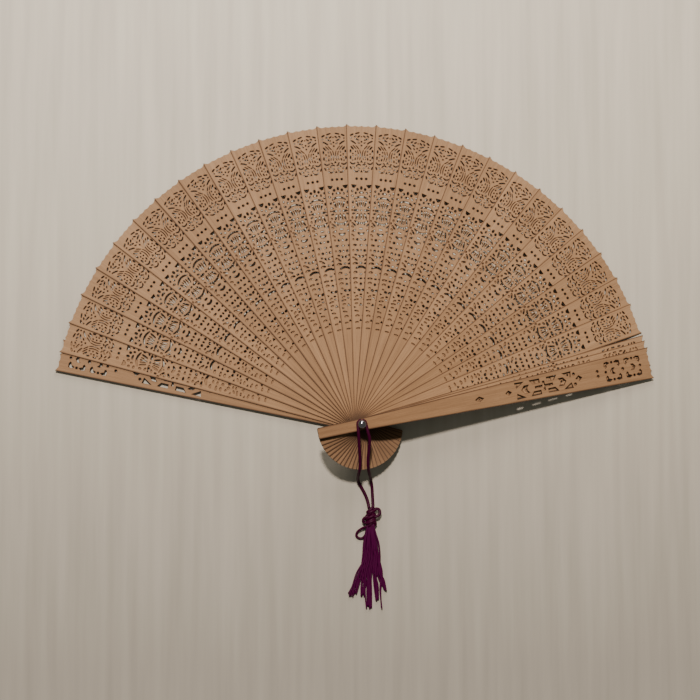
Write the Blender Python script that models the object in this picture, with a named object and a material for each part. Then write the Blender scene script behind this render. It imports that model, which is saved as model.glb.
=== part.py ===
"""A brise folding fan of sandalwood, lying open on a table.

Thirty flat pieces of wood share one rivet: a back guard at the bottom of the stack, 28 pierced sticks, and
a front guard on top.  A thin ribbon links the sticks near the rim, and a tassel hangs from a cord looped
round the rivet's neck, under its cap.

Frame: +Z up, the table is z = 0, the rivet stands on the Z axis with its flat back head on the table, and
+Y points from the rivet to the middle of the rim.  Units are metres.

Every piece of wood is drawn in its own flat frame, with X running from the rivet to its tip, and is then
turned to its azimuth, pitched down until its tip reaches the table, and rolled so that its left edge lies
over the edge of the piece before it.
"""

import math

import bmesh
import bpy
from mathutils import Matrix, Vector

MM = 0.001

# Wood, all measured from the rivet's axis along a piece
BLADE_REACH = 180.6 * MM
BUTT_REACH = 26.0 * MM
TIP_WIDTH = 18.8 * MM
PIVOT_WIDTH = 6.8 * MM
BUTT_WIDTH = 6.3 * MM
BUTT_CORNER = 0.8 * MM
STICK_THICKNESS = 0.5 * MM
GUARD_THICKNESS = 1.6 * MM
RIVET_HOLE_RADIUS = 1.45 * MM

# How the pieces lie when the fan is open
STICK_COUNT = 28
BACK_GUARD_AZIMUTH = 166.9
FIRST_STICK_AZIMUTH = 163.4
STICK_SPACING = 5.69
BUNCHED_AZIMUTHS = (14.7, 13.6)  # the last two sticks, pushed together under the front guard
FRONT_GUARD_AZIMUTH = 12.2
ROLL = math.radians(2.6)
STACK_GAP = 0.25 * MM  # between two pieces at the rivet
LAP_GAP = 0.25 * MM  # between two pieces at the rim
TABLE_GAP = 0.1 * MM  # under the lowest corner of a tip

# Rivet
BACK_HEAD_RADIUS = 3.5 * MM
BACK_HEAD_THICKNESS = 0.9 * MM
BACK_HEAD_CHAMFER = 0.3 * MM
SHAFT_RADIUS = 1.1 * MM
CAP_RADIUS = 2.5 * MM
CAP_HEIGHT = 2.0 * MM
TOUCH_GAP = 0.3 * MM
TILT_ROOM = 0.2 * MM  # for a head beside a piece that isn't level

# Ribbon
RIBBON_REACH = 149.4 * MM
RIBBON_WIDTH = 2.4 * MM
RIBBON_THICKNESS = 0.2 * MM
RIBBON_DROP = 0.75 * MM  # from a stick's mid plane down to the ribbon's upper face

# Tassel
CORD_DIAMETER = 1.9 * MM
LOOP_RADIUS = 2.35 * MM
KNOT_CENTRE = Vector((7.2, -54.9, 3.3)) * MM
KNOT_HALF_SIZE = Vector((4.6, 5.6, 3.1)) * MM
SKIRT_TOP = -61.0 * MM
SKIRT_LENGTH = 47.5 * MM
SKIRT_STATIONS = 7
SKIRT_SIDES = 12


# ---------------------------------------------------------------------------------------- where pieces lie
def thickness(index):
    return STICK_THICKNESS if 1 <= index <= STICK_COUNT else GUARD_THICKNESS


def azimuth(index):
    """The direction of a piece: 0 is the back guard, 1 to 28 the sticks and 29 the front guard."""
    if index == 0:
        return math.radians(BACK_GUARD_AZIMUTH)
    if index > STICK_COUNT:
        return math.radians(FRONT_GUARD_AZIMUTH)
    bunched = index - (STICK_COUNT - len(BUNCHED_AZIMUTHS)) - 1
    if bunched >= 0:
        return math.radians(BUNCHED_AZIMUTHS[bunched])
    return math.radians(FIRST_STICK_AZIMUTH - STICK_SPACING * (index - 1))


def stack_heights():
    """The height of each piece's mid plane at the rivet."""
    heights = [BACK_HEAD_THICKNESS + TOUCH_GAP + TILT_ROOM + GUARD_THICKNESS / 2]
    for index in range(1, STICK_COUNT + 2):
        half = (thickness(index - 1) + thickness(index)) / 2
        heights.append(heights[-1] + half + STACK_GAP)
    return heights


def tip_heights():
    """The height of each piece's mid plane at its tip, as low as the table and the piece before let it lie."""
    lowest = [
        thickness(index) / 2 + TIP_WIDTH / 2 * math.sin(ROLL) + TABLE_GAP
        for index in range(STICK_COUNT + 2)
    ]
    heights = [lowest[0]]
    for index in range(1, STICK_COUNT + 2):
        half = (thickness(index - 1) + thickness(index)) / 2
        turned = azimuth(index - 1) - azimuth(index)
        lapped = heights[-1] + half + LAP_GAP - turned * ROLL * BLADE_REACH
        heights.append(max(lowest[index], lapped))
    return heights


STACK = stack_heights()
TIPS = tip_heights()


def pitch(index):
    return math.asin((STACK[index] - TIPS[index]) / BLADE_REACH)


def piece_matrix(index):
    turn = Matrix.Rotation(azimuth(index), 4, "Z")
    lean = Matrix.Rotation(pitch(index), 4, "Y") @ Matrix.Rotation(ROLL, 4, "X")
    return Matrix.Translation((0, 0, STACK[index])) @ turn @ lean


FRONT_GUARD_TOP = STACK[-1] + GUARD_THICKNESS / 2
LOOP_HEIGHT = FRONT_GUARD_TOP + TOUCH_GAP + TILT_ROOM + CORD_DIAMETER / 2
SHAFT_TOP = LOOP_HEIGHT + CORD_DIAMETER / 2 + 0.1 * MM


# ------------------------------------------------------------------------------------------------ materials
def material(name, colour, roughness, metallic=0.0):
    made = bpy.data.materials.new(name)
    made.use_nodes = True
    shader = made.node_tree.nodes["Principled BSDF"]
    shader.inputs["Base Color"].default_value = (*colour, 1)
    shader.inputs["Roughness"].default_value = roughness
    shader.inputs["Metallic"].default_value = metallic
    return made


def add_object(name, mesh, coat):
    piece = bpy.data.objects.new(name, mesh)
    if not mesh.materials:
        mesh.materials.append(coat)
    bpy.context.collection.objects.link(piece)
    return piece


def mesh_from(bm, name, smooth_angle=None):
    bmesh.ops.recalc_face_normals(bm, faces=bm.faces)
    mesh = bpy.data.meshes.new(name)
    bm.to_mesh(mesh)
    bm.free()
    if smooth_angle is not None:
        mesh.shade_smooth()
        mesh.set_sharp_from_angle(angle=smooth_angle)
    return mesh


# ------------------------------------------------------------------------------------------- pierced plates
def half_width(x):
    """Half the width of a piece at x: a straight taper to each side of the rivet."""
    if x >= 0:
        return (PIVOT_WIDTH + (TIP_WIDTH - PIVOT_WIDTH) * x / BLADE_REACH) / 2
    return (PIVOT_WIDTH + (BUTT_WIDTH - PIVOT_WIDTH) * -x / BUTT_REACH) / 2


def plate_outline():
    """One side of the outline from the butt to the tip, then back along the other, with a bowed tip."""
    butt = -BUTT_REACH
    side = [
        (butt, half_width(butt) - BUTT_CORNER),
        (butt + BUTT_CORNER, half_width(butt)),
        (0.0, half_width(0.0)),
        (BLADE_REACH, half_width(BLADE_REACH)),
    ]
    bow = [(math.sqrt(BLADE_REACH**2 + half_width(BLADE_REACH) ** 2), 0.0)]
    return [(x, -y) for x, y in side] + bow + side[::-1]


def regular(x, y, radius, sides, turned=0.5):
    """A regular opening, such as a drilled hole."""
    return [
        (
            x + radius * math.cos(2 * math.pi * (k + turned) / sides),
            y + radius * math.sin(2 * math.pi * (k + turned) / sides),
        )
        for k in range(sides)
    ]


def oval(x, along, across, waist):
    """A six-sided opening on the centre line, its two long sides 2 * waist long."""
    half = [(x - along, 0.0), (x - waist, across), (x + waist, across)]
    return half + [(2 * x - px, -py) for px, py in half]


def mirrored(points):
    """An opening to the left of the centre line and its twin to the right."""
    return [points, [(x, -y) for x, y in points]]


def in_metres(openings):
    return [[(x * MM, y * MM) for x, y in opening] for opening in openings]


def stick_openings():
    """The main openings of a stick's fretwork, in millimetres from the rivet and from the centre line."""
    medallion = [[(170.8, -6.2), (174.0, 0.0), (170.8, 6.2), (169.6, 0.0)]]
    medallion += mirrored([(168.4, 6.3), (165.6, 2.2), (161.6, 2.2), (158.8, 6.0)])
    medallion += [[(153.6, -5.0), (157.6, 0.0), (153.6, 5.0), (154.6, 0.0)]]
    dots = [regular(147.2, y, 0.75, 4) for y in (-2.9, 0.0, 2.9)]
    panel = [oval(134.2, 3.4, 3.9, 1.4), oval(125.8, 3.4, 3.8, 1.4), oval(109.2, 6.2, 3.4, 3.6)]
    panel += [oval(90.4, 3.6, 3.1, 1.2), oval(78.6, 2.2, 2.9, 0.6)]
    motif = [regular(64.0, 0.0, 1.7, 4, 0.0)]
    return in_metres(medallion + dots + panel + motif)


def guard_openings():
    """A guard's fretwork: two four-leaved rosettes, a geometric panel and three lozenges."""
    rosettes = []
    for centre in (168.8, 156.0):
        for side in (-1, 1):
            for end in (-1, 1):
                corner = (centre + 4.5 * end, 5.4 * side)
                rosettes.append([corner, (centre + 1.5 * end, 4.9 * side), (centre + 3.8 * end, 2.4 * side)])
    dots = [regular(146.2, y, 0.75, 4) for y in (-1.5, 1.5)]
    lozenges = [regular(134.2, 0.0, 1.5, 4, 0.0), regular(89.9, 0.0, 1.4, 4, 0.0)]
    lozenges += [regular(71.8, 0.0, 2.4, 4, 0.0)]
    panel = []
    for end in (-1, 1):
        panel += mirrored([(x * end + 112.1, y) for x, y in ((16.6, 1.0), (13.0, 4.8), (8.6, 4.6), (11.0, 1.0))])
        panel += mirrored([(x * end + 112.1, y) for x, y in ((7.4, 4.5), (1.0, 4.2), (1.0, 2.2), (5.4, 2.2))])
    return in_metres(rosettes + dots + lozenges + panel)


def plate_mesh(name, openings, depth):
    """A flat plate of the given thickness about z = 0, with its outline, rivet hole and openings."""
    bm = bmesh.new()
    loops = [plate_outline(), regular(0.0, 0.0, RIVET_HOLE_RADIUS, 10)] + openings
    edges = []
    for loop in loops:
        corners = [bm.verts.new((x, y, depth / 2)) for x, y in loop]
        for here, there in zip(corners, corners[1:] + corners[:1]):
            edges.append(bm.edges.new((here, there)))
    bmesh.ops.triangle_fill(bm, use_beauty=True, use_dissolve=False, edges=edges)
    lower = bmesh.ops.extrude_face_region(bm, geom=bm.faces[:])
    moved = [item for item in lower["geom"] if isinstance(item, bmesh.types.BMVert)]
    bmesh.ops.translate(bm, vec=(0, 0, -depth), verts=moved)
    return mesh_from(bm, name)


def place_wood(name, mesh, index, coat):
    piece = add_object(name, mesh, coat)
    piece.location = (0, 0, STACK[index])
    piece.rotation_euler = (ROLL, pitch(index), azimuth(index))
    return piece


def make_wood():
    guard_wood = material("guard_sandalwood", (0.46, 0.31, 0.20), 0.55)
    stick_wood = material("stick_sandalwood", (0.50, 0.34, 0.22), 0.55)
    guard_mesh = plate_mesh("guard", guard_openings(), GUARD_THICKNESS)
    stick_mesh = plate_mesh("stick", stick_openings(), STICK_THICKNESS)
    place_wood("back_guard", guard_mesh, 0, guard_wood)
    for index in range(1, STICK_COUNT + 1):
        place_wood(f"stick_{index:02d}", stick_mesh, index, stick_wood)
    place_wood("front_guard", guard_mesh, STICK_COUNT + 1, guard_wood)


# ---------------------------------------------------------------------------------------------------- rivet
def turned_mesh(name, profile, steps):
    """A closed profile of (radius, height) points, both ends on the axis, turned about the Z axis."""
    bm = bmesh.new()
    points = [bm.verts.new((radius, 0, height)) for radius, height in profile]
    edges = [bm.edges.new(pair) for pair in zip(points, points[1:])]
    bmesh.ops.spin(
        bm, geom=points + edges, cent=(0, 0, 0), axis=(0, 0, 1), angle=2 * math.pi, steps=steps, use_merge=True
    )
    bmesh.ops.remove_doubles(bm, verts=bm.verts, dist=1e-6)
    return mesh_from(bm, name, math.radians(35))


def make_rivet():
    steel = material("rivet_steel", (0.62, 0.60, 0.62), 0.22, 1.0)
    shaft = [
        (0, 0),
        (BACK_HEAD_RADIUS - BACK_HEAD_CHAMFER, 0),
        (BACK_HEAD_RADIUS, BACK_HEAD_CHAMFER),
        (BACK_HEAD_RADIUS, BACK_HEAD_THICKNESS),
        (SHAFT_RADIUS, BACK_HEAD_THICKNESS),
        (SHAFT_RADIUS, SHAFT_TOP),
        (0, SHAFT_TOP),
    ]
    add_object("rivet", turned_mesh("rivet", shaft, 16), steel)
    base = SHAFT_TOP + TOUCH_GAP
    dome = [(0, base), (CAP_RADIUS * 0.93, base)]
    dome += [
        (CAP_RADIUS * math.cos(angle), base + CAP_HEIGHT * (0.12 + 0.88 * math.sin(angle)))
        for angle in (math.radians(degrees) for degrees in (0, 25, 50, 72))
    ]
    dome += [(0, base + CAP_HEIGHT)]
    add_object("rivet_cap", turned_mesh("rivet_cap", dome, 16), steel)


# --------------------------------------------------------------------------------------------------- ribbon
def ribbon_point(index, reach, drop):
    """A point on a stick's centre line, dropped straight down from its mid plane."""
    along = piece_matrix(index) @ Vector((reach, 0, 0))
    return along - Vector((0, 0, drop))


def make_ribbon():
    """One strip across the undersides of the sticks, up to the last one that isn't bunched on another."""
    bm = bmesh.new()
    inner, outer = RIBBON_REACH - RIBBON_WIDTH / 2, RIBBON_REACH + RIBBON_WIDTH / 2
    low = RIBBON_DROP + RIBBON_THICKNESS
    rings = []
    for index in range(1, STICK_COUNT):
        corners = ((inner, RIBBON_DROP), (outer, RIBBON_DROP), (outer, low), (inner, low))
        rings.append([bm.verts.new(ribbon_point(index, reach, drop)) for reach, drop in corners])
    for here, there in zip(rings, rings[1:]):
        for k in range(4):
            bm.faces.new((here[k], here[(k + 1) % 4], there[(k + 1) % 4], there[k]))
    bm.faces.new(rings[0])
    bm.faces.new(rings[-1][::-1])
    add_object("link_ribbon", mesh_from(bm, "link_ribbon"), material("ribbon", (0.62, 0.55, 0.42), 0.8))


# --------------------------------------------------------------------------------------------------- tassel
def smooth_route(points, spacing):
    """Points about one spacing apart on a smooth curve through the route's own points."""
    ends = [points[0] * 2 - points[1]] + points + [points[-1] * 2 - points[-2]]
    route = [points[0]]
    for before, here, there, after in zip(ends, ends[1:], ends[2:], ends[3:]):
        steps = max(1, round((there - here).length / spacing))
        for k in range(1, steps + 1):
            t = k / steps
            route.append(
                (
                    here * 2
                    + (there - before) * t
                    + (before * 2 - here * 5 + there * 4 - after) * t**2
                    + (here * 3 - before - there * 3 + after) * t**3
                )
                / 2
            )
    return route


def loop_points(side):
    """Half of the loop round the rivet's neck, from its far side forward; side is -1 for the left half."""
    first = math.radians(90) - side * (TOUCH_GAP / 2 + CORD_DIAMETER / 4) / LOOP_RADIUS
    turn = -side * math.radians(84)
    angles = [first + turn * k / 3 for k in range(4)]
    return [Vector((LOOP_RADIUS * math.cos(a), LOOP_RADIUS * math.sin(a), LOOP_HEIGHT)) for a in angles]


LEFT_STRAND = (
    (-2.0, -4.5, 27.3),
    (-1.5, -10.5, 25.5),
    (-1.0, -16.5, 23.2),
    (-0.6, -21.5, 21.0),
    (-0.7, -26.0, 18.6),
    (-1.0, -28.8, 14.0),
    (-1.0, -30.5, 8.5),
    (-0.5, -32.5, 3.5),
    (1.0, -35.5, 1.3),
    (3.0, -39.0, 1.1),
    (4.6, -42.5, 1.1),
    (5.6, -46.0, 1.5),
    (6.0, -48.6, 2.2),
)
RIGHT_STRAND = (
    (3.5, -4.5, 27.3),
    (4.5, -8.5, 26.4),
    (4.4, -13.5, 24.4),
    (4.0, -19.5, 21.8),
    (4.2, -24.5, 19.0),
    (5.2, -28.0, 14.0),
    (6.4, -30.5, 7.5),
    (7.2, -33.0, 2.8),
    (7.8, -36.5, 1.2),
    (8.1, -41.0, 1.1),
    (8.3, -45.5, 1.5),
    (8.3, -48.6, 2.2),
)


def make_cord(name, route, coat):
    curve = bpy.data.curves.new(name, "CURVE")
    curve.dimensions = "3D"
    curve.bevel_depth = CORD_DIAMETER / 2
    curve.bevel_resolution = 2
    curve.use_fill_caps = True
    spline = curve.splines.new("POLY")
    spline.points.add(len(route) - 1)
    for point, place in zip(spline.points, route):
        point.co = (*place, 1)
    curve.materials.append(coat)
    piece = bpy.data.objects.new(name, curve)
    bpy.context.collection.objects.link(piece)


def make_knot(coat):
    bm = bmesh.new()
    bmesh.ops.create_uvsphere(bm, u_segments=12, v_segments=8, radius=1)
    for vert in bm.verts:
        vert.co = Vector(a * b for a, b in zip(vert.co, KNOT_HALF_SIZE)) + KNOT_CENTRE
    add_object("tassel_knot", mesh_from(bm, "tassel_knot", math.radians(60)), coat)


def make_skirt(coat):
    """A flattened bundle of threads that widens and thins towards its cut end."""
    bm = bmesh.new()
    rings = []
    for k in range(SKIRT_STATIONS):
        t = k / (SKIRT_STATIONS - 1)
        half_across = (3.0 + 6.4 * t**1.3) * MM
        half_high = (2.4 - 0.9 * t) * MM
        centre = Vector((KNOT_CENTRE.x + 0.9 * MM * t, SKIRT_TOP - SKIRT_LENGTH * t, half_high + 0.1 * MM))
        rings.append([])
        for side in range(SKIRT_SIDES):
            angle = 2 * math.pi * (side + 0.5) / SKIRT_SIDES
            across = Vector((half_across * math.cos(angle), 0, half_high * math.sin(angle)))
            rings[-1].append(bm.verts.new(centre + across))
    for here, there in zip(rings, rings[1:]):
        for side in range(SKIRT_SIDES):
            after = (side + 1) % SKIRT_SIDES
            bm.faces.new((here[side], here[after], there[after], there[side]))
    bm.faces.new(rings[0])
    bm.faces.new(rings[-1][::-1])
    add_object("tassel_skirt", mesh_from(bm, "tassel_skirt", math.radians(50)), coat)


def make_tassel():
    silk = material("tassel_cord", (0.09, 0.006, 0.10), 0.5)
    for name, side, strand in (("tassel_cord_left", -1, LEFT_STRAND), ("tassel_cord_right", 1, RIGHT_STRAND)):
        points = loop_points(side) + [Vector(point) * MM for point in strand]
        make_cord(name, smooth_route(points, 2.2 * CORD_DIAMETER), silk)
    make_knot(silk)
    make_skirt(silk)


def main():
    for old in list(bpy.data.objects):
        bpy.data.objects.remove(old, do_unlink=True)
    make_wood()
    make_rivet()
    make_ribbon()
    make_tassel()


main()
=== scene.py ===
import math
import random

import bmesh
import bpy
from mathutils import Matrix, Vector
from mathutils.geometry import delaunay_2d_cdt


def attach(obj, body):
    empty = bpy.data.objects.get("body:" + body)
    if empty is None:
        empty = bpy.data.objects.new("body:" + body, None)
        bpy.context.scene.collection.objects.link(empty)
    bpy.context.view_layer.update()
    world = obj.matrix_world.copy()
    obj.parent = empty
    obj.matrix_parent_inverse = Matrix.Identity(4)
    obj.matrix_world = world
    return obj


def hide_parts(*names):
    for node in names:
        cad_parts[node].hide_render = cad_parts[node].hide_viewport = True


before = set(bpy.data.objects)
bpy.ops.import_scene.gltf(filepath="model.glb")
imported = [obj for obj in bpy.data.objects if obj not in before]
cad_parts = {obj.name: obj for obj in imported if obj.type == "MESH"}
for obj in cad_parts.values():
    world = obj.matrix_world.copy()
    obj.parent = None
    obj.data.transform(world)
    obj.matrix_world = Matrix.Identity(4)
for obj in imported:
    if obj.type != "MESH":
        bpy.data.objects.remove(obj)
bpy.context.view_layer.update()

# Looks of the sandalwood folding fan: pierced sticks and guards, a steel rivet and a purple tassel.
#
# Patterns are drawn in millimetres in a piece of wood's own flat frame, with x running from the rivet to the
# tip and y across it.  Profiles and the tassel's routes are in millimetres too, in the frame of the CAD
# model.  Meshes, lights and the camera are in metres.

MM = 0.001

# The CAD model's lengths in millimetres and azimuths in degrees, which this file repeats
BLADE_REACH = 180.6
BUTT_REACH = 26.0
TIP_WIDTH = 18.8
PIVOT_WIDTH = 6.8
BUTT_WIDTH = 6.3
STICK_THICKNESS = 0.5
GUARD_THICKNESS = 1.6
RIVET_HOLE_RADIUS = 1.45
STICK_COUNT = 28
BACK_GUARD_AZIMUTH = 166.9
FIRST_STICK_AZIMUTH = 163.4
STICK_SPACING = 5.69
BUNCHED_AZIMUTHS = (14.7, 13.6)
FRONT_GUARD_AZIMUTH = 12.2
ROLL = math.radians(2.6)
STACK_GAP = 0.25
LAP_GAP = 0.25
TABLE_GAP = 0.1
BACK_HEAD_RADIUS = 3.5
BACK_HEAD_THICKNESS = 0.9
SHAFT_RADIUS = 1.1
CAP_RADIUS = 2.5
CAP_HEIGHT = 2.0
TOUCH_GAP = 0.3
TILT_ROOM = 0.2
RIBBON_REACH = 149.4
RIBBON_WIDTH = 2.4
CORD_DIAMETER = 1.9
LOOP_RADIUS = 2.35

# A dash in a pattern is cut this much wider than the width it is drawn with
SLOT_GROWTH = 1.75

# The openings of the panels and the guards are cut this far outside their drawn outlines
KERF = 0.1

# How far the wood is darkened round each opening, partly as browning from the cutter and partly as painted
# shade
CHAR_AND_SHADE_REACH = 0.4

# The rim: a pointed corner on each side, and shallow scallops between them
SCALLOP_REACH = 179.75
SCALLOP_DEPTH = 0.5
SCALLOP_PITCH = 4.0
CORNER_RISE = 1.15
CORNER_SPAN = 2.2

# Each stick's strip of ribbon: its distance below the stick, and how thick it is
RIBBON_GAP = 0.04
RIBBON_THICKNESS = 0.12

# The tassel's knot and skirt, beside the CAD's lengths
KNOT_CORD_RADIUS = 0.92
SIDE_LOOP_RADIUS = 0.75
YARN_COUNT = 46
YARN_RADIUS = 0.56

# How far the table's top lies below the lowest point of the fan, in metres
TABLE_DROP = 0.0002

# The camera stands nearly above the fan
CAMERA_PLACE = (-0.0668, -0.0254, 0.9452)
CAMERA_TILT = (math.radians(4.238), math.radians(-3.736), 0.0)
CAMERA_LENS = 82.3


# ---------------------------------------------------------------------------------------- where pieces lie
def thickness(index):
    return STICK_THICKNESS if 1 <= index <= STICK_COUNT else GUARD_THICKNESS


def azimuth(index):
    """The direction of a piece: 0 is the back guard, 1 to 28 the sticks and 29 the front guard."""
    if index == 0:
        return math.radians(BACK_GUARD_AZIMUTH)
    if index > STICK_COUNT:
        return math.radians(FRONT_GUARD_AZIMUTH)
    bunched = index - (STICK_COUNT - len(BUNCHED_AZIMUTHS)) - 1
    if bunched >= 0:
        return math.radians(BUNCHED_AZIMUTHS[bunched])
    return math.radians(FIRST_STICK_AZIMUTH - STICK_SPACING * (index - 1))


def stack_heights():
    """The height of each piece's middle at the rivet, from the back guard up."""
    heights = [BACK_HEAD_THICKNESS + TOUCH_GAP + TILT_ROOM + GUARD_THICKNESS / 2]
    for index in range(1, STICK_COUNT + 2):
        half = (thickness(index - 1) + thickness(index)) / 2
        heights.append(heights[-1] + half + STACK_GAP)
    return heights


def tip_heights():
    """The height of each piece's middle at its tip: on the table, or lapped over its left neighbour."""
    lowest = [
        thickness(index) / 2 + TIP_WIDTH / 2 * math.sin(ROLL) + TABLE_GAP
        for index in range(STICK_COUNT + 2)
    ]
    heights = [lowest[0]]
    for index in range(1, STICK_COUNT + 2):
        half = (thickness(index - 1) + thickness(index)) / 2
        apart = azimuth(index - 1) - azimuth(index)
        heights.append(max(lowest[index], heights[-1] + half + LAP_GAP - apart * ROLL * BLADE_REACH))
    return heights


STACK = stack_heights()
TIPS = tip_heights()
LOOP_HEIGHT = STACK[-1] + GUARD_THICKNESS / 2 + TOUCH_GAP + TILT_ROOM + CORD_DIAMETER / 2
SHAFT_TOP = LOOP_HEIGHT + CORD_DIAMETER / 2 + 0.1


def piece_matrix(index):
    """Takes a piece of wood from its own flat frame, in metres, to its place in the open fan."""
    pitch = math.asin((STACK[index] - TIPS[index]) / BLADE_REACH)
    turn = Matrix.Rotation(azimuth(index), 4, "Z")
    lean = Matrix.Rotation(pitch, 4, "Y") @ Matrix.Rotation(ROLL, 4, "X")
    return Matrix.Translation((0, 0, STACK[index] * MM)) @ turn @ lean


# ------------------------------------------------------------------------------------------------ materials
def node(tree, kind, inputs=None, **settings):
    """A shader node with its settings and inputs; an input that is a socket is linked."""
    made = tree.nodes.new("ShaderNode" + kind)
    for name, value in settings.items():
        setattr(made, name, value)
    for name, value in (inputs or {}).items():
        if isinstance(value, bpy.types.NodeSocket):
            tree.links.new(value, made.inputs[name])
        else:
            made.inputs[name].default_value = value
    return made


def new_material(name, **sockets):
    made = bpy.data.materials.new(name)
    made.use_nodes = True
    shader = made.node_tree.nodes["Principled BSDF"]
    for socket, value in sockets.items():
        shader.inputs[socket.replace("_", " ")].default_value = value
    return made, made.node_tree, shader


def ramp(tree, factor, *stops):
    """A colour ramp through (position, colour) stops."""
    made = node(tree, "ValToRGB", {"Fac": factor})
    band = made.color_ramp
    while len(band.elements) < len(stops):
        band.elements.new(0.5)
    for element, (position, colour) in zip(band.elements, stops):
        element.position = position
        element.color = (*colour, 1)
    return made.outputs["Color"]


def stretched_noise(tree, uv, along, across, detail=3.0, roughness=0.55):
    """Noise with so many cells per centimetre along and across the grain."""
    scaled = node(tree, "Mapping", {"Vector": uv, "Scale": (along, across, 1)}).outputs["Vector"]
    sockets = {"Vector": scaled, "Scale": 1.0, "Detail": detail, "Roughness": roughness}
    return node(tree, "TexNoise", sockets).outputs["Fac"]


def multiplied(tree, one, other):
    """Two colours multiplied, channel by channel."""
    made = node(tree, "Mix", data_type="RGBA", blend_type="MULTIPLY")
    made.inputs[0].default_value = 1.0
    tree.links.new(one, made.inputs[6])
    tree.links.new(other, made.inputs[7])
    return made.outputs[2]


def maths(tree, operation, *values):
    made = node(tree, "Math", operation=operation)
    for socket, value in zip(made.inputs, values):
        if isinstance(value, bpy.types.NodeSocket):
            tree.links.new(value, socket)
        else:
            socket.default_value = value
    return made.outputs[0]


def wood(name, light, middle, dark, butt):
    """Straight grain and short pores, browner towards the rivet; darker at the side edges and round the
    openings, partly from the cutter and partly as painted shade.
    """
    made, tree, shader = new_material(name, Specular_IOR_Level=0.2)
    uv = node(tree, "UVMap", uv_map="Grain").outputs["UV"]
    own = node(tree, "SeparateXYZ", {"Vector": node(tree, "UVMap", uv_map="Tone").outputs["UV"]})
    across = node(tree, "SeparateXYZ", {"Vector": node(tree, "UVMap", uv_map="Across").outputs["UV"]})
    streaks = stretched_noise(tree, uv, 0.7, 26.0, 4.0)
    bands = stretched_noise(tree, uv, 0.22, 5.0, 2.0)
    pores = stretched_noise(tree, uv, 4.5, 70.0, 2.0, 0.7)
    grain = maths(tree, "ADD", maths(tree, "MULTIPLY", streaks, 0.62), maths(tree, "MULTIPLY", bands, 0.38))
    colour = ramp(tree, grain, (0.3, dark), (0.5, middle), (0.68, light))
    pore = ramp(tree, pores, (0.3, (0.72, 0.66, 0.6)), (0.42, (1, 1, 1)))
    colour = multiplied(tree, colour, pore)
    towards_rivet = ramp(tree, own.outputs["Y"], (0.0, butt), (0.05, (0.9, 0.85, 0.78)), (0.62, (1, 1, 1)))
    colour = multiplied(tree, colour, towards_rivet)
    tone = ramp(tree, own.outputs["X"], (0.0, (0.9, 0.88, 0.85)), (1.0, (1.06, 1.07, 1.08)))
    colour = multiplied(tree, colour, tone)
    # A thin dark line along both side edges: partly browning from the cutter, partly painted shade where a
    # stick's edge shades its neighbour.
    from_edge = maths(tree, "SUBTRACT", 1.0, maths(tree, "ABSOLUTE", across.outputs["X"]))
    from_edge = maths(tree, "MULTIPLY", from_edge, across.outputs["Y"])
    char_and_shade = ramp(tree, from_edge, (0.22, (0.34, 0.27, 0.22)), (0.75, (1, 1, 1)))
    colour = multiplied(tree, colour, char_and_shade)
    # Round each opening the wood is darkened: partly browning from the cutter, partly painted shade that
    # darkens the look of the openings.
    opening_char_and_shade = node(tree, "SeparateXYZ", {"Vector": node(tree, "UVMap", uv_map="Scorch").outputs["UV"]})
    char_and_shade_stops = ((0.0, (1, 1, 1)), (0.5, (0.8, 0.72, 0.65)), (1.0, (0.24, 0.16, 0.11)))
    browned = ramp(tree, opening_char_and_shade.outputs["X"], *char_and_shade_stops)
    colour = multiplied(tree, colour, browned)
    tree.links.new(colour, shader.inputs["Base Color"])
    rough = maths(tree, "MULTIPLY_ADD", streaks, 0.22, 0.55)
    tree.links.new(rough, shader.inputs["Roughness"])
    height = maths(tree, "ADD", streaks, maths(tree, "MULTIPLY", pores, 0.7))
    bump = node(tree, "Bump", {"Height": height, "Strength": 0.35, "Distance": 0.00008})
    tree.links.new(bump.outputs["Normal"], shader.inputs["Normal"])
    return made


def cut_edge():
    """The walls of the openings and the outline, browned by the cutter."""
    made, tree, shader = new_material("cut_edge", Roughness=0.7)
    uv = node(tree, "UVMap", uv_map="Grain").outputs["UV"]
    charred = stretched_noise(tree, uv, 6.0, 14.0)
    colour = ramp(tree, charred, (0.3, (0.040, 0.019, 0.009)), (0.7, (0.095, 0.048, 0.022)))
    tree.links.new(colour, shader.inputs["Base Color"])
    bump = node(tree, "Bump", {"Height": charred, "Strength": 0.4, "Distance": 0.0001})
    tree.links.new(bump.outputs["Normal"], shader.inputs["Normal"])
    return made


def steel():
    made, tree, shader = new_material("polished_steel", Metallic=1.0)
    place = node(tree, "UVMap", uv_map="Grain").outputs["UV"]
    scuffs = stretched_noise(tree, place, 3.0, 30.0, 5.0, 0.65)
    # Dark, purple-tinted steel: a painted reflection of the purple cord and the dim room, varied by the
    # scuffs.
    colour = ramp(tree, scuffs, (0.3, (0.16, 0.14, 0.16)), (0.7, (0.30, 0.265, 0.29)))
    tree.links.new(colour, shader.inputs["Base Color"])
    tree.links.new(maths(tree, "MULTIPLY_ADD", scuffs, 0.16, 0.06), shader.inputs["Roughness"])
    bump = node(tree, "Bump", {"Height": scuffs, "Strength": 0.1, "Distance": 0.00005})
    tree.links.new(bump.outputs["Normal"], shader.inputs["Normal"])
    return made


def silk(name, deep, bright):
    """Glossy twisted thread: u runs along it and v once round it."""
    made, tree, shader = new_material(name, Specular_IOR_Level=0.08)
    uv = node(tree, "UVMap", uv_map="Grain").outputs["UV"]
    fibres = stretched_noise(tree, uv, 14.0, 9.0, 3.0, 0.6)
    patches = stretched_noise(tree, uv, 1.6, 1.2, 2.0)
    blend = maths(tree, "ADD", maths(tree, "MULTIPLY", fibres, 0.6), maths(tree, "MULTIPLY", patches, 0.4))
    tree.links.new(ramp(tree, blend, (0.43, deep), (0.68, bright)), shader.inputs["Base Color"])
    tree.links.new(maths(tree, "MULTIPLY_ADD", fibres, 0.3, 0.28), shader.inputs["Roughness"])
    bump = node(tree, "Bump", {"Height": fibres, "Strength": 0.5, "Distance": 0.00012})
    tree.links.new(bump.outputs["Normal"], shader.inputs["Normal"])
    return made


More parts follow.
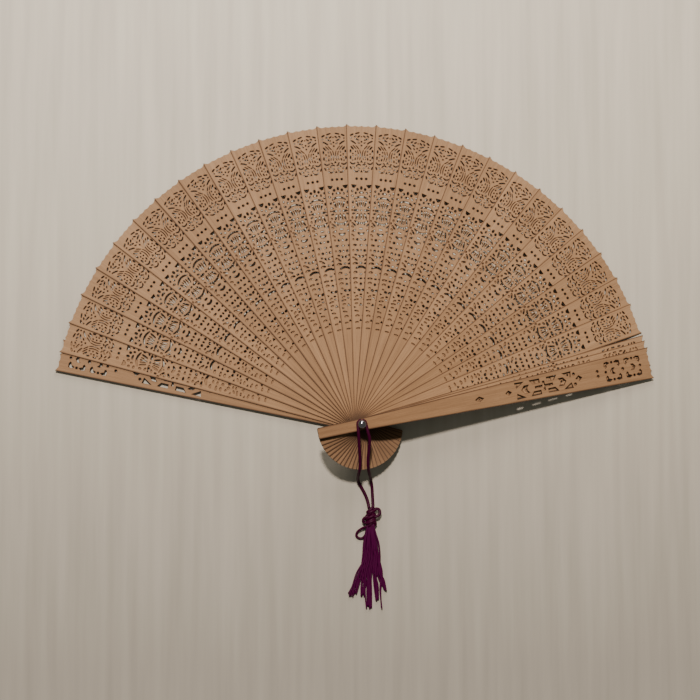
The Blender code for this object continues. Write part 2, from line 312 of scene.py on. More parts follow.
def woven_ribbon():
    made, tree, shader = new_material("woven_ribbon", Roughness=0.75, Sheen_Weight=0.25)
    uv = node(tree, "UVMap", uv_map="Grain").outputs["UV"]
    scaled = node(tree, "Mapping", {"Vector": uv, "Scale": (18, 18, 1)}).outputs["Vector"]
    weave = node(tree, "TexChecker", {"Vector": scaled, "Scale": 2.0}).outputs["Fac"]
    fuzz = stretched_noise(tree, uv, 20.0, 20.0)
    level = maths(tree, "ADD", maths(tree, "MULTIPLY", weave, 0.35), maths(tree, "MULTIPLY", fuzz, 0.65))
    colour = ramp(tree, level, (0.2, (0.42, 0.31, 0.19)), (0.8, (0.60, 0.47, 0.31)))
    tree.links.new(colour, shader.inputs["Base Color"])
    bump = node(tree, "Bump", {"Height": level, "Strength": 0.5, "Distance": 0.00008})
    tree.links.new(bump.outputs["Normal"], shader.inputs["Normal"])
    return made


def tabletop():
    """A pale streaked board, with painted shade that makes it darker towards the viewer in place of the
    lamps' fall-off.
    """
    made, tree, shader = new_material("pale_table", Roughness=0.5, Specular_IOR_Level=0.25)
    place = node(tree, "TexCoord").outputs["Object"]
    scaled = node(tree, "Mapping", {"Vector": place, "Scale": (150, 7, 1)}).outputs["Vector"]
    streaks = node(tree, "TexNoise", {"Vector": scaled, "Scale": 1.0, "Detail": 4.0}).outputs["Fac"]
    colour = ramp(tree, streaks, (0.3, (0.40, 0.346, 0.279)), (0.7, (0.475, 0.412, 0.335)))
    away = maths(tree, "ADD", node(tree, "SeparateXYZ", {"Vector": place}).outputs["Y"], 0.5)
    # Painted shade: darker towards the viewer and lighter away from it, standing in for light falling off.
    near, middle, far = (0.56, 0.56, 0.57), (0.94, 0.94, 0.94), (1.14, 1.14, 1.14)
    painted_falloff = ramp(tree, away, (0.36, near), (0.62, middle), (0.95, far))
    colour = multiplied(tree, colour, painted_falloff)
    tree.links.new(colour, shader.inputs["Base Color"])
    return made


# ------------------------------------------------------------------------------------------ pattern shapes
def dash(width, *points):
    """A slot of that width along a smooth line through two or three points, narrowing to blunt ends."""
    (x0, y0), (x2, y2) = points[0], points[-1]
    x1, y1 = points[1] if len(points) == 3 else ((x0 + x2) / 2, (y0 + y2) / 2)
    stations = (0.0, 0.14, 0.5, 0.86, 1.0) if len(points) == 2 else (0.0, 0.1, 0.3, 0.5, 0.7, 0.9, 1.0)
    left, right = [], []
    for t in stations:
        a, b, c = (1 - t) * (1 - 2 * t), 4 * t * (1 - t), t * (2 * t - 1)
        da, db, dc = 4 * t - 3, 4 - 8 * t, 4 * t - 1
        x, y = a * x0 + b * x1 + c * x2, a * y0 + b * y1 + c * y2
        dx, dy = da * x0 + db * x1 + dc * x2, da * y0 + db * y1 + dc * y2
        length = math.hypot(dx, dy)
        half = SLOT_GROWTH * width / 2 * (0.35 if t in (0.0, 1.0) else 1.0 if abs(t - 0.5) < 0.3 else 0.82)
        left.append((x - dy / length * half, y + dx / length * half))
        right.append((x + dy / length * half, y - dx / length * half))
    return left + right[::-1]


def dot(x, y, along, across=None, sides=8):
    """An oval opening with its half sizes along and across the stick."""
    across = along if across is None else across
    angles = [2 * math.pi * (k + 0.5) / sides for k in range(sides)]
    return [(x + along * math.cos(a), y + across * math.sin(a)) for a in angles]


def diamond(x, along, across):
    return [(x + along, 0.0), (x, across), (x - along, 0.0), (x, -across)]


def both(*shapes):
    """Each shape and its mirror image across the centre line."""
    return [side for shape in shapes for side in (shape, [(x, -y) for x, y in shape])]


def flipped(x, shapes):
    """The shapes' mirror images along the stick, about x."""
    return [[(2 * x - px, py) for px, py in shape] for shape in shapes]


def shifted(x, y, shape):
    return [(px + x, py + y) for px, py in shape]


def medallion():
    """The square of fretwork next to the rim, round two sets of arcs that stand back to back."""
    shapes = both(
        dash(0.5, (173.6, 6.9), (174.6, 5.0)),
        dash(0.42, (174.8, 3.9), (175.5, 1.3)),
        dot(172.2, 6.4, 0.42),
        dash(0.45, (172.7, 4.4), (173.7, 3.1)),
        dash(0.45, (172.6, 2.4), (173.6, 1.0)),
        dash(0.45, (171.9, 4.1), (170.8, 1.5)),
        dash(0.42, (170.5, 6.7), (169.7, 5.0), (168.5, 3.4)),
        dash(0.35, (169.6, 2.4), (168.9, 1.2)),
        dash(0.26, (167.6, 3.5), (165.3, 1.5)),
        dash(0.2, (164.9, 1.2), (161.8, 0.55), (158.7, 1.2)),
        dash(0.28, (167.7, 5.2), (165.3, 3.0)),
        dash(0.22, (164.6, 2.5), (161.8, 1.9), (158.8, 2.5)),
        dash(0.5, (167.0, 6.5), (165.1, 4.7)),
        dash(0.4, (164.4, 3.7), (163.5, 3.5)),
        dash(0.4, (160.0, 3.6), (158.6, 3.9)),
        dash(0.5, (165.0, 6.6), (163.1, 6.6)),
        dash(0.5, (161.1, 6.6), (159.1, 6.6)),
        dot(162.5, 5.2, 0.42),
        dot(160.8, 5.2, 0.42),
        dot(161.8, 3.5, 0.42),
        dot(158.7, 5.3, 0.4),
        dash(0.42, (157.4, 6.8), (156.2, 5.3), (157.0, 3.5)),
        dash(0.4, (157.4, 2.6), (156.7, 1.5)),
        dash(0.38, (154.6, 3.2), (156.0, 1.8), (155.3, 0.5)),
        dash(0.45, (154.6, 6.8), (152.9, 5.9)),
        dash(0.36, (154.6, 5.2), (153.6, 3.9)),
        dash(0.4, (152.5, 4.8), (151.4, 2.9), (152.6, 1.3)),
        dash(0.35, (154.1, 2.2), (153.4, 0.9)),
    )
    shapes += [dot(169.9, 0.0, 0.45), dot(167.6, 0.0, 0.45), dot(173.0, 0.0, 0.3)]
    shapes.append([(157.2, -0.75), (158.7, 0.0), (157.2, 0.75)])
    shapes.append([(151.2, -0.7), (152.6, 0.0), (151.2, 0.7)])
    return shapes


def three_dots():
    return [dot(147.2, y, 0.75) for y in (-2.87, 0.0, 2.87)]


def petals():
    """Five petals that spread from the rivet's side towards a bowed bar."""
    shapes = [dash(0.38, (134.2, 0.0), (129.9, 0.0))]
    return shapes + both(dash(0.2, (133.9, 1.35), (130.5, 0.95)), dash(0.46, (133.8, 3.2), (130.2, 1.9)))


def upper_panel():
    """A frame of small cuts round two bowed bars with petals between them."""
    shapes = both(
        [(143.6, 6.0), (143.4, 3.1), (142.8, 3.3), (141.6, 4.3), (141.9, 5.3)],
        dot(140.7, 2.3, 0.75, 0.65),
        dot(139.6, 5.5, 0.6, 0.5),
        dot(138.5, 3.3, 0.65, 0.45),
        dash(0.5, (136.9, 6.1), (136.5, 4.6)),
        dot(132.9, 5.0, 0.8, 0.5),
        dot(128.0, 5.4, 0.4, 0.4),
        dash(0.65, (128.0, 4.5), (128.0, 1.7)),
        dash(0.45, (130.2, 5.3), (129.6, 3.8)),
        dash(0.45, (125.7, 5.2), (126.4, 3.8)),
        dot(123.4, 5.2, 0.7, 0.45),
        dash(0.5, (120.4, 5.5), (118.4, 3.3)),
        dash(0.5, (118.3, 5.7), (117.6, 4.6)),
        dash(0.5, (114.9, 5.3), (116.2, 3.3)),
        dot(119.6, 1.9, 0.55, 0.4),
        dash(0.35, (122.0, 6.3), (120.9, 6.3)),
        dash(0.35, (113.4, 5.6), (112.3, 4.2)),
    )
    shapes.append(dot(141.6, 0.0, 1.0, 0.62))
    shapes.append(dash(0.5, (138.6, -1.3), (138.9, 0.0), (138.6, 1.3)))
    bar = [dash(0.48, (134.7, -4.1), (136.3, 0.0), (134.7, 4.1))]
    shapes += bar + flipped(128.2, bar) + petals() + flipped(128.2, petals())
    shapes.append(dot(128.0, 0.0, 0.4, 0.6))
    shapes.append(dash(0.55, (116.8, -1.0), (116.9, 1.0)))
    shapes.append(dash(0.6, (114.5, -1.9), (113.5, 0.0), (114.5, 1.9)))
    return shapes


def lower_panel():
    """Rows of dots and bowed dashes that close up as the stick narrows."""
    shapes = []
    for x in (110.3, 103.7):
        shapes += both(dot(x, 2.2, 0.65, 0.7), dot(x, 4.6, 0.5, 0.4)) + [dot(x, 0.0, 0.6, 0.4)]
    shapes += both(dash(0.5, (106.9, 4.6), (106.9, 2.6)), dash(0.4, (101.2, 3.8), (100.9, 2.5)))
    shapes.append(dash(0.45, (106.9, -0.8), (106.9, 0.8)))
    shapes += both(
        dash(0.6, (100.6, 1.8), (99.8, 0.35)),
        dash(0.45, (99.6, 5.0), (97.7, 2.1)),
        dash(0.5, (95.4, 4.7), (96.0, 3.3), (95.7, 1.9)),
        dash(0.5, (90.1, 4.1), (90.7, 3.2), (90.4, 2.2)),
        dash(0.45, (86.8, 4.6), (87.0, 1.9)),
        dash(0.45, (83.8, 4.0), (84.4, 3.1), (84.1, 2.1)),
        dash(0.65, (80.3, 1.9), (79.6, 0.4)),
        dash(0.4, (81.4, 3.4), (81.0, 2.4)),
        [(78.7, 4.3), (78.2, 3.0), (77.7, 4.0)],
        dash(0.4, (75.7, 3.2), (76.7, 1.8)),
        dash(0.35, (73.9, 4.0), (74.4, 1.4)),
        dash(0.35, (71.8, 3.4), (72.0, 1.8)),
        dash(0.35, (67.6, 3.6), (67.2, 1.4)),
        [(70.1, 4.1), (69.6, 2.7), (69.1, 3.8)],
        dash(0.35, (64.2, 3.0), (64.8, 1.9), (64.4, 0.9)),
        dash(0.3, (60.6, 3.1), (60.9, 1.3)),
        dash(0.3, (57.0, 2.5), (57.2, 0.4)),
    )
    shapes.append(dash(0.5, (96.1, -0.7), (96.1, 0.7)))
    shapes.append(dash(0.6, (92.8, -3.0), (94.0, 0.0), (92.8, 3.0)))
    shapes += [dot(89.5, 0.0, 0.4, 0.75), dot(86.9, 0.0, 0.4, 0.7), dot(83.6, 0.0, 0.7, 0.6)]
    shapes += [dash(0.35, (77.3, -0.6), (77.3, 0.6)), dash(0.35, (75.5, -0.6), (75.5, 0.6))]
    shapes += [[(70.7, -0.9), (72.2, 0.0), (70.7, 0.9)], [(61.5, -0.7), (62.7, 0.0), (61.5, 0.7)]]
    return shapes


def rosette():
    """Four pairs of leaves round a chevron that points to the tip, about the origin."""
    leaf = [(1.3, 5.0), (2.9, 5.9), (4.7, 5.5), (4.9, 3.5), (4.2, 2.3), (3.5, 3.0), (3.6, 4.1), (2.6, 4.5)]
    shapes = both(leaf, [(-x, y) for x, y in leaf], dot(0.0, 5.1, 0.65))
    shapes.append([(-1.3, 1.8), (0.3, 1.7), (1.6, 0.0), (0.3, -1.7), (-1.3, -1.8), (0.0, -0.5), (0.0, 0.5)])
    shapes.append(dot(4.6, 0.0, 0.65))
    return shapes


def guard_panel():
    """One half of the geometric panel, on the tip's side of its cross, about the origin."""
    shapes = both(
        [(12.0, 4.7), (17.7, 4.9), (17.0, 1.7)],
        [(2.3, 4.6), (8.6, 4.7), (6.6, 2.3), (2.3, 2.3)],
    )
    chevron = [(9.2, 2.3), (12.2, 2.2), (14.0, 0.0), (12.2, -2.2), (9.2, -2.3), (10.6, -0.9), (10.6, 0.9)]
    shapes.append(chevron)
    return shapes


def guard_pattern():
    shapes = [shifted(168.8, 0.0, shape) for shape in rosette()]
    shapes += [shifted(156.0, 0.0, shape) for shape in flipped(0.0, rosette())]
    shapes += [dot(162.3, 0.0, 0.8), dot(146.2, 1.5, 0.75), dot(146.2, -1.5, 0.75)]
    shapes += both(dot(131.4, 3.05, 0.75))
    for x, along, across in ((134.2, 2.0, 1.5), (89.9, 1.9, 1.3), (71.8, 2.7, 1.4)):
        shapes.append(diamond(x, along, across))
    half = guard_panel()
    shapes += [shifted(112.1, 0.0, shape) for shape in half + flipped(0.0, half)]
    arm = [(0.55, 2.7), (0.55, 0.55), (5.5, 0.55), (5.5, -0.55), (0.55, -0.55), (0.55, -2.7)]
    cross = arm + [(-x, -y) for x, y in arm]
    shapes.append(shifted(112.1, 0.0, cross))
    return opened(shapes)


def against_the_clock(shape):
    doubled = sum(x * y1 - x1 * y for (x, y), (x1, y1) in zip(shape, shape[1:] + shape[:1]))
    return shape if doubled > 0 else shape[::-1]


def opened(shapes):
    """The shapes with every side moved outwards by the cutter's kerf."""
    return [grown(against_the_clock(shape), KERF) for shape in shapes]


def stick_pattern():
    return medallion() + three_dots() + opened(upper_panel() + lower_panel())


# --------------------------------------------------------------------------------------------- pierced wood
def half_width(x):
    if x >= 0:
        return (PIVOT_WIDTH + (TIP_WIDTH - PIVOT_WIDTH) * x / BLADE_REACH) / 2
    return (PIVOT_WIDTH + (BUTT_WIDTH - PIVOT_WIDTH) * -x / BUTT_REACH) / 2


def rim_x(y):
    """How far the rim reaches at y: concave scallops between two pointed corners."""
    scallop = SCALLOP_DEPTH * abs(math.sin(math.pi * y / SCALLOP_PITCH))
    corner = max(0.0, (abs(y) - (TIP_WIDTH / 2 - CORNER_SPAN)) / CORNER_SPAN)
    reach = SCALLOP_REACH - scallop * (1 - corner) + CORNER_RISE * corner**1.4
    return math.sqrt(reach**2 - y**2)


def wood_outline():
    """The outline of a stick or guard, once round against the clock from its butt."""
    butt, corner = -BUTT_REACH, 0.8
    side = []
    for k in range(4):
        angle = math.pi / 2 * k / 3
        inwards = corner * (1 - math.cos(angle))
        side.append((butt + corner * (1 - math.sin(angle)), half_width(butt) - inwards))
    side = side[::-1]
    edge = [(x, half_width(x)) for x in [0.0] + [BLADE_REACH * k / 6 for k in range(1, 6)]]
    steps = 44
    last = TIP_WIDTH / 2
    rim = [(rim_x(y), y) for y in (last * (2 * k / steps - 1) for k in range(steps + 1))]
    right = [(x, -y) for x, y in side + edge]
    return right + rim + [(x, y) for x, y in (side + edge)[::-1]]


def grown(shape, by):
    """The outline of a shape that runs against the clock, moved outwards."""
    moved = []
    for before, here, after in zip(shape[-1:] + shape[:-1], shape, shape[1:] + shape[:1]):
        arriving = Vector((here[0] - before[0], here[1] - before[1])).normalized()
        leaving = Vector((after[0] - here[0], after[1] - here[1])).normalized()
        outwards = Vector((arriving.y + leaving.y, -arriving.x - leaving.x)).normalized()
        moved.append((here[0] + outwards.x * by, here[1] + outwards.y * by))
    return moved


def wood_mesh(name, openings, depth):
    """A pierced plate about z = 0; its walls take the second material, and the Scorch map is 1 at its
    openings, for the cutter's browning and painted shade round them.
    """
    openings = [against_the_clock(shape) for shape in openings]
    cuts = [against_the_clock(dot(0.0, 0.0, RIVET_HOLE_RADIUS, sides=24))] + openings
    margins = [grown(shape, CHAR_AND_SHADE_REACH) for shape in openings]
    points, loops = [], []
    for loop in [against_the_clock(wood_outline())] + cuts + margins:
        loops.append(list(range(len(points), len(points) + len(loop))))
        points += [Vector(place) for place in loop]
    first_cut, first_margin = loops[2][0], loops[len(cuts) + 1][0]
    corners, _, faces, origins, _, inside = delaunay_2d_cdt(points, [], loops, 1, 1e-7)
    bm = bmesh.new()
    char_and_shade = bm.verts.layers.float.new("CharAndShade")
    verts = [bm.verts.new((place.x * MM, place.y * MM, depth / 2 * MM)) for place in corners]
    for vert, origin in zip(verts, origins):
        vert[char_and_shade] = any(first_cut <= k < first_margin for k in origin)
    for face, within in zip(faces, inside):
        if 0 in within and not any(1 <= loop <= len(cuts) for loop in within):
            bm.faces.new([verts[k] for k in face])
    bmesh.ops.delete(bm, geom=[vert for vert in verts if not vert.link_faces], context="VERTS")
    lower = bmesh.ops.extrude_face_region(bm, geom=bm.faces[:])
    moved = [item for item in lower["geom"] if isinstance(item, bmesh.types.BMVert)]
    bmesh.ops.translate(bm, vec=(0, 0, -depth * MM), verts=moved)
    bmesh.ops.recalc_face_normals(bm, faces=bm.faces)
    bm.normal_update()
    map_wood(bm, char_and_shade)
    mesh = bpy.data.meshes.new(name)
    bm.to_mesh(mesh)
    bm.free()
    mesh.set_sharp_from_angle(angle=math.radians(40))
    return mesh


def map_wood(bm, char_and_shade):
    """The walls' material, and the maps that the wood reads: grain, tone, side edges, and the openings'
    browning and painted shade.
    """
    grain = bm.loops.layers.uv.new("Grain")
    tone = bm.loops.layers.uv.new("Tone")
    across = bm.loops.layers.uv.new("Across")
    opening_char_and_shade = bm.loops.layers.uv.new("Scorch")
    for face in bm.faces:
        face.smooth = True
        face.material_index = 0 if abs(face.normal.z) > 0.5 else 1
        for loop in face.loops:
            place = loop.vert.co
            loop[grain].uv = (place.x * 100, place.y * 100)
            loop[tone].uv = (0.5, place.x / (BLADE_REACH * MM))
            half = half_width(place.x / MM)
            loop[across].uv = (place.y / MM / half, half)
            loop[opening_char_and_shade].uv = (loop.vert[char_and_shade], 0)


def add_piece(name, mesh, body, slot, *nodes):
    piece = bpy.data.objects.new(name, mesh)
    bpy.context.collection.objects.link(piece)
    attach(piece, body)
    if nodes:
        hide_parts(*nodes)
    return piece


def place_wood(name, mesh, index, body, slot, coats, luck):
    """A copy of the plate where the CAD piece lies, with its own stretch of grain and its own tone."""
    own = mesh.copy()
    own.name = name
    shift = (luck.uniform(0, 300), luck.uniform(0, 300))
    shade = luck.random()
    for loop in own.uv_layers["Grain"].data:
        loop.uv = (loop.uv[0] + shift[0], loop.uv[1] + shift[1])
    for loop in own.uv_layers["Tone"].data:
        loop.uv = (shade, loop.uv[1])
    own.transform(piece_matrix(index))
    for coat in coats:
        own.materials.append(coat)
    return add_piece(name + "_fretwork", own, body, slot, name)


def make_wood():
    luck = random.Random(11)
    edge = cut_edge()
    guard_tones = (0.240, 0.131, 0.066), (0.192, 0.101, 0.048), (0.140, 0.070, 0.032)
    stick_tones = (0.300, 0.172, 0.090), (0.245, 0.135, 0.068), (0.178, 0.093, 0.044)
    guard_wood = wood("guard_sandalwood", *guard_tones, (0.85, 0.8, 0.75))
    stick_wood = wood("stick_sandalwood", *stick_tones, (0.62, 0.57, 0.52))
    guard = wood_mesh("guard", guard_pattern(), GUARD_THICKNESS)
    stick = wood_mesh("stick", stick_pattern(), STICK_THICKNESS)
    place_wood("back_guard", guard, 0, "back_guard_and_rivet", "guard_wood", (guard_wood, edge), luck)
    for index in range(1, STICK_COUNT + 1):
        name = f"stick_{index:02d}"
        place_wood(name, stick, index, name, "stick_wood", (stick_wood, edge), luck)
    place_wood("front_guard", guard, STICK_COUNT + 1, "front_guard", "guard_wood", (guard_wood, edge), luck)


# ------------------------------------------------------------------------------------------ rivet and ribbon
def turned(name, profile, steps, coat):
    """A closed profile of (radius, height) points in millimetres, turned about the rivet's axis."""
    bm = bmesh.new()
    grain = bm.loops.layers.uv.new("Grain")
    rings = []
    for radius, height in profile:
        angles = [2 * math.pi * k / steps for k in range(steps)] if radius > 0 else [0.0]
        places = [(radius * math.cos(a) * MM, radius * math.sin(a) * MM, height * MM) for a in angles]
        rings.append([bm.verts.new(place) for place in places])
    for here, there in zip(rings, rings[1:]):
        for k in range(steps):
            after = (k + 1) % steps
            corners = [here[k % len(here)], here[after % len(here)]]
            corners += [there[after % len(there)], there[k % len(there)]]
            face = bm.faces.new(list(dict.fromkeys(corners)))
            face.smooth = True
            for loop in face.loops:
                place = loop.vert.co
                loop[grain].uv = (place.x * 100, place.y * 100 + place.z * 100)
    bmesh.ops.recalc_face_normals(bm, faces=bm.faces)
    mesh = bpy.data.meshes.new(name)
    bm.to_mesh(mesh)
    bm.free()
    mesh.set_sharp_from_angle(angle=math.radians(38))
    mesh.materials.append(coat)
    return mesh


def make_rivet():
    coat = steel()
    rim, head = BACK_HEAD_RADIUS, BACK_HEAD_THICKNESS
    shaft = [(0, 0), (rim - 0.3, 0), (rim - 0.09, 0.09), (rim, 0.3), (rim, head - 0.1), (rim - 0.1, head)]
    shaft += [(SHAFT_RADIUS, head), (SHAFT_RADIUS, SHAFT_TOP), (0, SHAFT_TOP)]
    mesh = turned("rivet_shaft", shaft, 48, coat)
    add_piece("rivet_shaft", mesh, "back_guard_and_rivet", "rivet_steel", "rivet")
    base = SHAFT_TOP + TOUCH_GAP
    dome = [(0, base), (CAP_RADIUS - 0.25, base), (CAP_RADIUS, base + 0.12)]
    for k in range(1, 12):
        angle = math.radians(90 * k / 12)
        dome.append((CAP_RADIUS * math.cos(angle), base + 0.24 + (CAP_HEIGHT - 0.24) * math.sin(angle)))
    dome.append((0, base + CAP_HEIGHT))
    mesh = turned("rivet_dome", dome, 64, coat)
    add_piece("rivet_dome", mesh, "back_guard_and_rivet", "rivet_steel", "rivet_cap")


def make_ribbon():
    """The linking ribbon, one strip glued under each stick, so that it folds away with the sticks."""
    coat = woven_ribbon()
    half_length = math.radians(STICK_SPACING) / 2 * RIBBON_REACH
    top = -STICK_THICKNESS / 2 - RIBBON_GAP
    for index in range(1, STICK_COUNT + 1):
        name = f"link_ribbon_{index:02d}"
        bm = bmesh.new()
        grain = bm.loops.layers.uv.new("Grain")
        bmesh.ops.create_grid(bm, x_segments=2, y_segments=10, size=0.5)
        for vert in bm.verts:
            x, y = vert.co.x * RIBBON_WIDTH, vert.co.y * 2 * half_length
            vert.co = Vector((RIBBON_REACH + x, y, top)) * MM
        lower = bmesh.ops.extrude_face_region(bm, geom=bm.faces[:])
        moved = [item for item in lower["geom"] if isinstance(item, bmesh.types.BMVert)]
        bmesh.ops.translate(bm, vec=(0, 0, -RIBBON_THICKNESS * MM), verts=moved)
        bmesh.ops.recalc_face_normals(bm, faces=bm.faces)
        for face in bm.faces:
            for loop in face.loops:
                loop[grain].uv = (loop.vert.co.x * 100, loop.vert.co.y * 100 + index)
        mesh = bpy.data.meshes.new(name)
        bm.to_mesh(mesh)
        bm.free()
        mesh.transform(piece_matrix(index))
        mesh.materials.append(coat)
        add_piece(name, mesh, f"stick_{index:02d}", "ribbon", "link_ribbon")


# --------------------------------------------------------------------------------------------------- tassel
def smooth_route(points, spacing):
    """Points about one spacing apart on a smooth curve through the route's own points."""
    ends = [points[0] * 2 - points[1]] + points + [points[-1] * 2 - points[-2]]
    route = [points[0]]
    for before, here, there, after in zip(ends, ends[1:], ends[2:], ends[3:]):
        steps = max(1, round((there - here).length / spacing))
        for k in range(1, steps + 1):
            t = k / steps
            route.append(
                (
                    here * 2
                    + (there - before) * t
                    + (before * 2 - here * 5 + there * 4 - after) * t**2
                    + (here * 3 - before - there * 3 + after) * t**3
                )
                / 2
            )
    return route


def loop_points(side):
    """Half of the loop round the rivet's neck, from its far side forward; side is -1 for the left half."""
    clear = TOUCH_GAP / 2 + 0.05
    first = math.radians(90) - side * clear / LOOP_RADIUS
    turn = -side * math.radians(84)
    angles = [first + turn * k / 3 for k in range(4)]
    return [Vector((LOOP_RADIUS * math.cos(a), LOOP_RADIUS * math.sin(a), LOOP_HEIGHT)) for a in angles]


LEFT_STRAND = (
    (-2.0, -4.5, 27.3),
    (-1.5, -10.5, 25.5),
    (-1.0, -16.5, 23.2),
    (-0.6, -21.5, 21.0),
    (-0.7, -26.0, 18.6),
    (-1.0, -28.8, 14.0),
    (-1.0, -30.5, 8.5),
    (-0.5, -32.5, 3.5),
    (1.0, -35.5, 1.3),
    (3.0, -39.0, 1.1),
    (4.6, -42.5, 1.1),
    (5.6, -46.0, 1.5),
    (6.0, -48.6, 2.2),
)
RIGHT_STRAND = (
    (3.5, -4.5, 27.3),
    (4.5, -8.5, 26.4),
    (4.4, -13.5, 24.4),
    (4.0, -19.5, 21.8),
    (4.2, -24.5, 19.0),
    (5.2, -28.0, 14.0),
    (6.4, -30.5, 7.5),
    (7.2, -33.0, 2.8),
    (7.8, -36.5, 1.2),
    (8.1, -41.0, 1.1),
    (8.3, -45.5, 1.5),
    (8.3, -48.6, 2.2),
)


def twisted_tube(bm, route, radius, plies, lay_length, sides, taper=0.0, turn=0.0):
    """A rope of so many plies along a route in metres; each ply's crown is at the radius."""
    grain = bm.loops.layers.uv.verify()
    side = Vector((0, 0, 1))
    rings, travelled, total = [], 0.0, sum((b - a).length for a, b in zip(route, route[1:]))
    for k, place in enumerate(route):
        forward = (route[min(k + 1, len(route) - 1)] - route[max(k - 1, 0)]).normalized()
        side = (side - forward * side.dot(forward)).normalized()
        other = forward.cross(side)
        if k:
            travelled += (place - route[k - 1]).length
        share = 1 - taper * travelled / total
        ring = []
        for s in range(sides):
            angle = 2 * math.pi * s / sides
            phase = plies * (angle - turn - 2 * math.pi * travelled / lay_length)
            reach = radius * share * (0.84 + 0.16 * abs(math.cos(phase / 2)) ** 0.8)
            ring.append(bm.verts.new(place + (side * math.cos(angle) + other * math.sin(angle)) * reach))
        rings.append((ring, travelled))
    for (here, start), (there, end) in zip(rings, rings[1:]):
        for s in range(sides):
            after = (s + 1) % sides
            face = bm.faces.new((here[s], here[after], there[after], there[s]))
            face.smooth = True
            places = ((start, s), (start, s + 1), (end, s + 1), (end, s))
            for loop, (along, turned_by) in zip(face.loops, places):
                loop[grain].uv = (along * 100, turned_by / sides + turn)
    for ring, flip in ((rings[0][0], True), (rings[-1][0], False)):
        bm.faces.new(ring[::-1] if flip else ring)


def finished(bm, name, coat):
    bmesh.ops.recalc_face_normals(bm, faces=bm.faces)
    mesh = bpy.data.meshes.new(name)
    bm.to_mesh(mesh)
    bm.free()
    mesh.materials.append(coat)
    return mesh


def in_metres(points):
    return [Vector(point) * MM for point in points]


def make_cord(name, side, strand, coat):
    """One strand of the cord, from behind the rivet's neck to the knot, with its route."""
    points = in_metres(loop_points(side)) + in_metres(strand)
    route = smooth_route(points, 0.45 * MM)
    bm = bmesh.new()
    twisted_tube(bm, route, CORD_DIAMETER / 2 * MM, 3, 4.2 * MM, 15)
    piece = add_piece(name + "_twist", finished(bm, name, coat), "tassel", "tassel_silk", name)
    return piece, route


def make_knot(coat):
    """A lump of crossing wraps with a small loop on each side and a long one beside the skirt."""
    bm = bmesh.new()
    wraps = []
    for k in range(61):
        t = k / 60
        angle = 2 * math.pi * 4.4 * t + 0.6
        swell = 0.78 + 0.34 * math.sin(math.pi * t)
        lean = 1.1 * math.cos(angle)
        across, up = 2.1 * swell * math.cos(angle), 1.6 * swell * math.sin(angle)
        wraps.append((6.8 + across, -49.0 - 9.4 * t + lean, 2.9 + up))
    back = []
    for k in range(37):
        t = k / 36
        angle = -2 * math.pi * 2.4 * t + 2.2
        lean = 1.6 * math.cos(angle)
        back.append((7.0 + 2.5 * math.cos(angle), -50.4 - 7.0 * t + lean, 3.0 + 2.0 * math.sin(angle)))
    right_loop = [(7.3, -53.6, 3.2), (9.0, -53.6, 4.2), (11.1, -53.0, 4.4), (12.3, -51.3, 4.1)]
    right_loop += [(11.7, -49.4, 3.8), (9.9, -49.0, 4.0), (8.6, -50.3, 4.4)]
    right_loop += [(7.8, -52.2, 4.2), (6.8, -54.0, 3.2)]
    left_loop = [(6.2, -53.3, 3.4), (4.6, -53.6, 4.0), (2.9, -54.7, 3.6), (2.5, -56.4, 3.0)]
    left_loop += [(3.9, -57.2, 2.9), (5.4, -56.3, 3.6), (6.8, -55.4, 4.2)]
    foot = [(5.4, -56.2, 3.8), (7.4, -56.9, 4.4), (9.3, -56.9, 3.8)]
    foot += [(9.6, -58.2, 2.9), (8.0, -59.1, 3.4), (6.0, -59.0, 3.6)]
    for points, turn in ((wraps, 0.0), (back, 0.4), (right_loop, 0.2), (left_loop, 0.6), (foot, 0.8)):
        route = smooth_route(in_metres(points), 0.5 * MM)
        twisted_tube(bm, route, KNOT_CORD_RADIUS * MM, 3, 4.0 * MM, 12, turn=turn)
    side_loop = [(6.0, -58.2, 2.9), (4.4, -59.3, 3.0), (1.6, -60.6, 2.2), (-0.8, -62.6, 1.3)]
    side_loop += [(-1.4, -64.8, 0.9), (0.2, -66.2, 0.8), (2.5, -66.0, 0.9), (4.4, -63.6, 1.6)]
    twisted_tube(bm, smooth_route(in_metres(side_loop), 0.5 * MM), SIDE_LOOP_RADIUS * MM, 3, 3.6 * MM, 12)
    mesh = finished(bm, "tassel_knot_wraps", coat)
    return add_piece("tassel_knot_wraps", mesh, "tassel", "tassel_silk", "tassel_knot")


TUFTS = (
    # where it ends in x and y, half its spread there, and its yarns' places across the skirt, from and to
    (-3.9, -99.8, 2.5, -1.0, -0.58),
    (2.3, -100.0, 1.2, -0.58, -0.24),
    (6.0, -107.0, 1.5, -0.24, 0.24),
    (10.8, -102.0, 0.8, 0.24, 0.6),
    (15.6, -96.9, 0.7, 0.6, 0.9),
    (13.4, -107.0, 0.4, 0.9, 1.0),
)


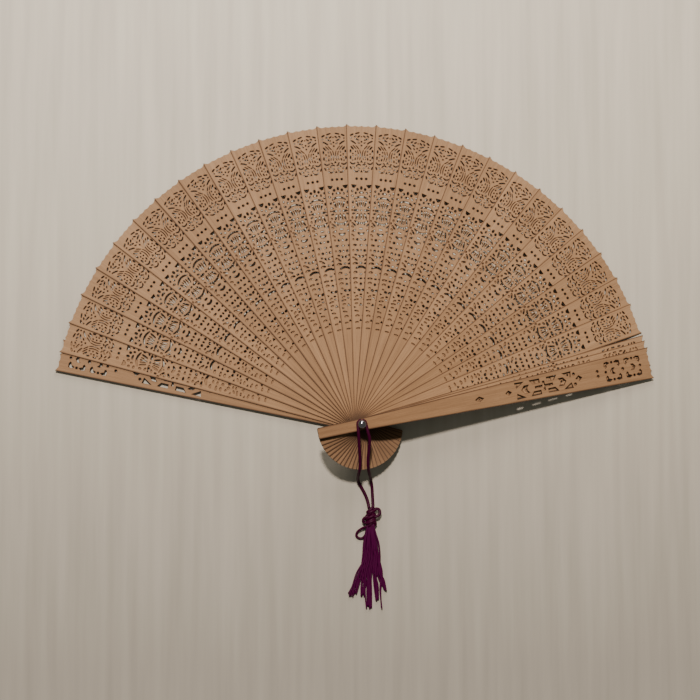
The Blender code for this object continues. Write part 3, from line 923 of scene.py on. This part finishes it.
def make_skirt(coat):
    """The tassel's yarns: gathered under the knot, wider below, and parted into tufts at their ends."""
    luck = random.Random(5)
    bm = bmesh.new()
    for k in range(YARN_COUNT):
        across = -1 + 2 * (k + 0.5) / YARN_COUNT
        end_x, end_y, spread, low, high = next(tuft for tuft in TUFTS if across <= tuft[4])
        inside = (across - low) / (high - low) * 2 - 1
        rise = luck.random()
        wander = [luck.uniform(-0.9, 0.9) for _ in range(4)]
        points = [
            (6.8 + 1.7 * across, -57.8, 1.9 + 2.0 * rise),
            (6.8 + 2.7 * across + wander[0] * 0.5, -63.0, 0.9 + 2.9 * rise),
            (7.1 + 4.2 * across + wander[0], -70.0, 0.7 + 2.6 * rise),
            (7.4 + 5.1 * across + wander[1], -78.0, 0.7 + 2.0 * rise),
            (6.2 + 7.2 * across + wander[2], -86.2, 0.7 + 1.6 * rise),
        ]
        last = Vector((end_x + spread * inside, end_y + luck.uniform(-0.8, 1.6), 0.6 + 0.7 * rise))
        before = Vector(points[-1])
        middle = before.lerp(last, 0.5) + Vector((wander[3], 0, 0))
        points += [middle, last]
        route = smooth_route(in_metres(points), 1.0 * MM)
        lay = luck.uniform(2.6, 3.6) * MM
        twisted_tube(bm, route, YARN_RADIUS * MM, 2, lay, 8, taper=0.25, turn=luck.random())
    mesh = finished(bm, "tassel_yarns", coat)
    return add_piece("tassel_yarns", mesh, "tassel", "tassel_silk", "tassel_skirt")


def make_tassel():
    cord_silk = silk("cord_silk", (0.007, 0.0, 0.002), (0.085, 0.0, 0.036))
    yarn_silk = silk("yarn_silk", (0.007, 0.0, 0.003), (0.135, 0.0, 0.075))
    strands = (("tassel_cord_left", -1, LEFT_STRAND), ("tassel_cord_right", 1, RIGHT_STRAND))
    for name, side, strand in strands:
        make_cord(name, side, strand, cord_silk)
    knot = make_knot(cord_silk)
    skirt = make_skirt(yarn_silk)


# ---------------------------------------------------------------------------------------- camera and studio
def make_camera():
    data = bpy.data.cameras.new("camera")
    data.lens = CAMERA_LENS
    data.sensor_width = 36.0
    data.clip_start = 0.01
    camera = bpy.data.objects.new("camera", data)
    camera.location = CAMERA_PLACE
    camera.rotation_euler = CAMERA_TILT
    bpy.context.collection.objects.link(camera)
    bpy.context.scene.camera = camera


def add_light(name, place, target, size, power, colour):
    data = bpy.data.lights.new(name, "AREA")
    data.shape = "DISK"
    data.size = size
    data.energy = power
    data.color = colour
    lamp = bpy.data.objects.new(name, data)
    lamp.location = place
    lamp.rotation_euler = (Vector(place) - Vector(target)).to_track_quat("Z", "Y").to_euler()
    bpy.context.collection.objects.link(lamp)


def make_table():
    bm = bmesh.new()
    bmesh.ops.create_grid(bm, x_segments=1, y_segments=1, size=2.0)
    bmesh.ops.translate(bm, vec=(0, 0, -TABLE_DROP), verts=bm.verts)
    floor = bpy.data.objects.new("table", finished(bm, "table", tabletop()))
    bpy.context.collection.objects.link(floor)


def make_studio():
    """A small key light high up behind the rim, a weak one lower down, and a dim greenish room."""
    middle_of_fan = (0.0, 0.07, 0.0)
    add_light("key", (-0.36, 1.38, 3.0), middle_of_fan, size=0.3, power=168.0, colour=(1.0, 0.945, 0.87))
    add_light("top", (0.04, 0.62, 0.45), middle_of_fan, size=0.4, power=3.2, colour=(1.0, 0.97, 0.9))
    world = bpy.data.worlds.new("studio")
    world.use_nodes = True
    background = world.node_tree.nodes["Background"]
    background.inputs["Color"].default_value = (0.86, 0.92, 0.82, 1)
    background.inputs["Strength"].default_value = 0.25
    bpy.context.scene.world = world


make_camera()
make_tassel()
make_wood()
make_rivet()
make_ribbon()
make_table()
make_studio()
